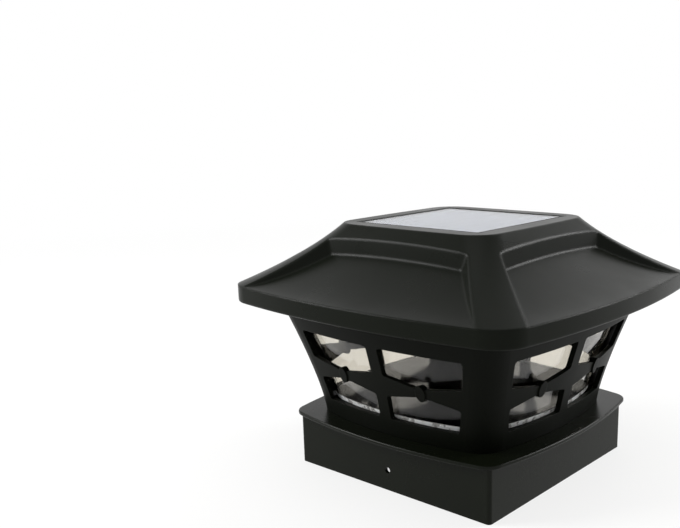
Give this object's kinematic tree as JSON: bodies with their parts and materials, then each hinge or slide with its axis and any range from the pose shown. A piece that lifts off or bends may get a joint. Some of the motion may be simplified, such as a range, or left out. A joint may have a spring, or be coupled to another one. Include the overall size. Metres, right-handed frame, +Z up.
{
  "type": "deck post cap light",
  "caption": "Square pagoda-roofed deck post cap light: bowed flange over a post skirt, flared lattice lantern, lift-off roof with a solar panel in its deck.",
  "frame": {"origin": "middle of the skirt's lower edge, at the lowest point of the part", "axes": "+Z up along the post, X and Y square to the skirt's sides; the side screws pass along Y"},
  "size_m": [0.201, 0.201, 0.1389],
  "materials": {
    "black_housing": "satin moulded, slightly glossy",
    "black_inner": "matt moulded",
    "clear_acrylic": "clear, polished",
    "panel_glass": "clear, polished",
    "solar_silicon": "dark blue, glossy",
    "black_rubber": "matt foam rubber",
    "zinc_steel": "zinc plated",
    "nickel_strip": "nickel plated",
    "battery_sleeve": "glossy shrunk sleeve on a steel can",
    "green_laminate": "glossy solder mask",
    "white_laminate": "white solder mask",
    "white_moulding": "glossy white",
    "chip_resin": "matt",
    "ferrite": "matt dark grey",
    "can_aluminium": "plain can",
    "mirror_film": "vacuum-metallised plastic",
    "lamp_resin": "clear cast resin",
    "red_wire": "smooth extruded insulation",
    "black_wire": "smooth extruded insulation"
  },
  "bodies": {
    "base": {"base_cap": "black_housing", "body_screws": "zinc_steel", "lattice_body": "black_housing", "clear_lens": "clear_acrylic", "mirror_plate": "mirror_film"},
    "roof_module": {"roof_shell": "black_housing", "under_tray": "black_inner", "tray_seal": "black_rubber", "tray_screws": "zinc_steel", "panel_seal": "black_rubber", "panel_board": "white_laminate", "solar_cells": "solar_silicon", "panel_cover": "panel_glass", "battery_cell": "battery_sleeve", "positive_contact": "nickel_strip", "negative_contact": "nickel_strip", "circuit_board": "green_laminate", "board_screws": "zinc_steel", "driver_chip": "chip_resin", "choke_coil": "ferrite", "capacitor": "can_aluminium", "led_board": "white_laminate", "led_lamps": "lamp_resin", "reflector": "white_moulding", "reflector_screws": "zinc_steel", "switch_body": "black_inner", "switch_screws": "zinc_steel", "panel_wire_positive": "red_wire", "panel_wire_negative": "black_wire", "led_wire_positive": "red_wire", "led_wire_negative": "black_wire", "battery_wire_positive": "red_wire", "battery_wire_negative": "black_wire", "switch_wires": "black_wire"},
    "battery_door": {"battery_door": "black_inner", "door_seal": "black_rubber", "door_screws": "zinc_steel"},
    "switch_slider": {"switch_slider": "black_inner"}
  },
  "joints": [
    {"name": "roof_lift", "type": "slide", "parent": "base", "child": "roof_module", "axis": [0, 0, 1], "range_m": [0, 0.06]},
    {"name": "door_lift", "type": "slide", "parent": "roof_module", "child": "battery_door", "axis": [0, 0, -1], "range_m": [0, 0.03]},
    {"name": "switch_slide", "type": "slide", "parent": "roof_module", "child": "switch_slider", "axis": [0, 1, 0], "range_m": [0, 0.0026]}
  ]
}
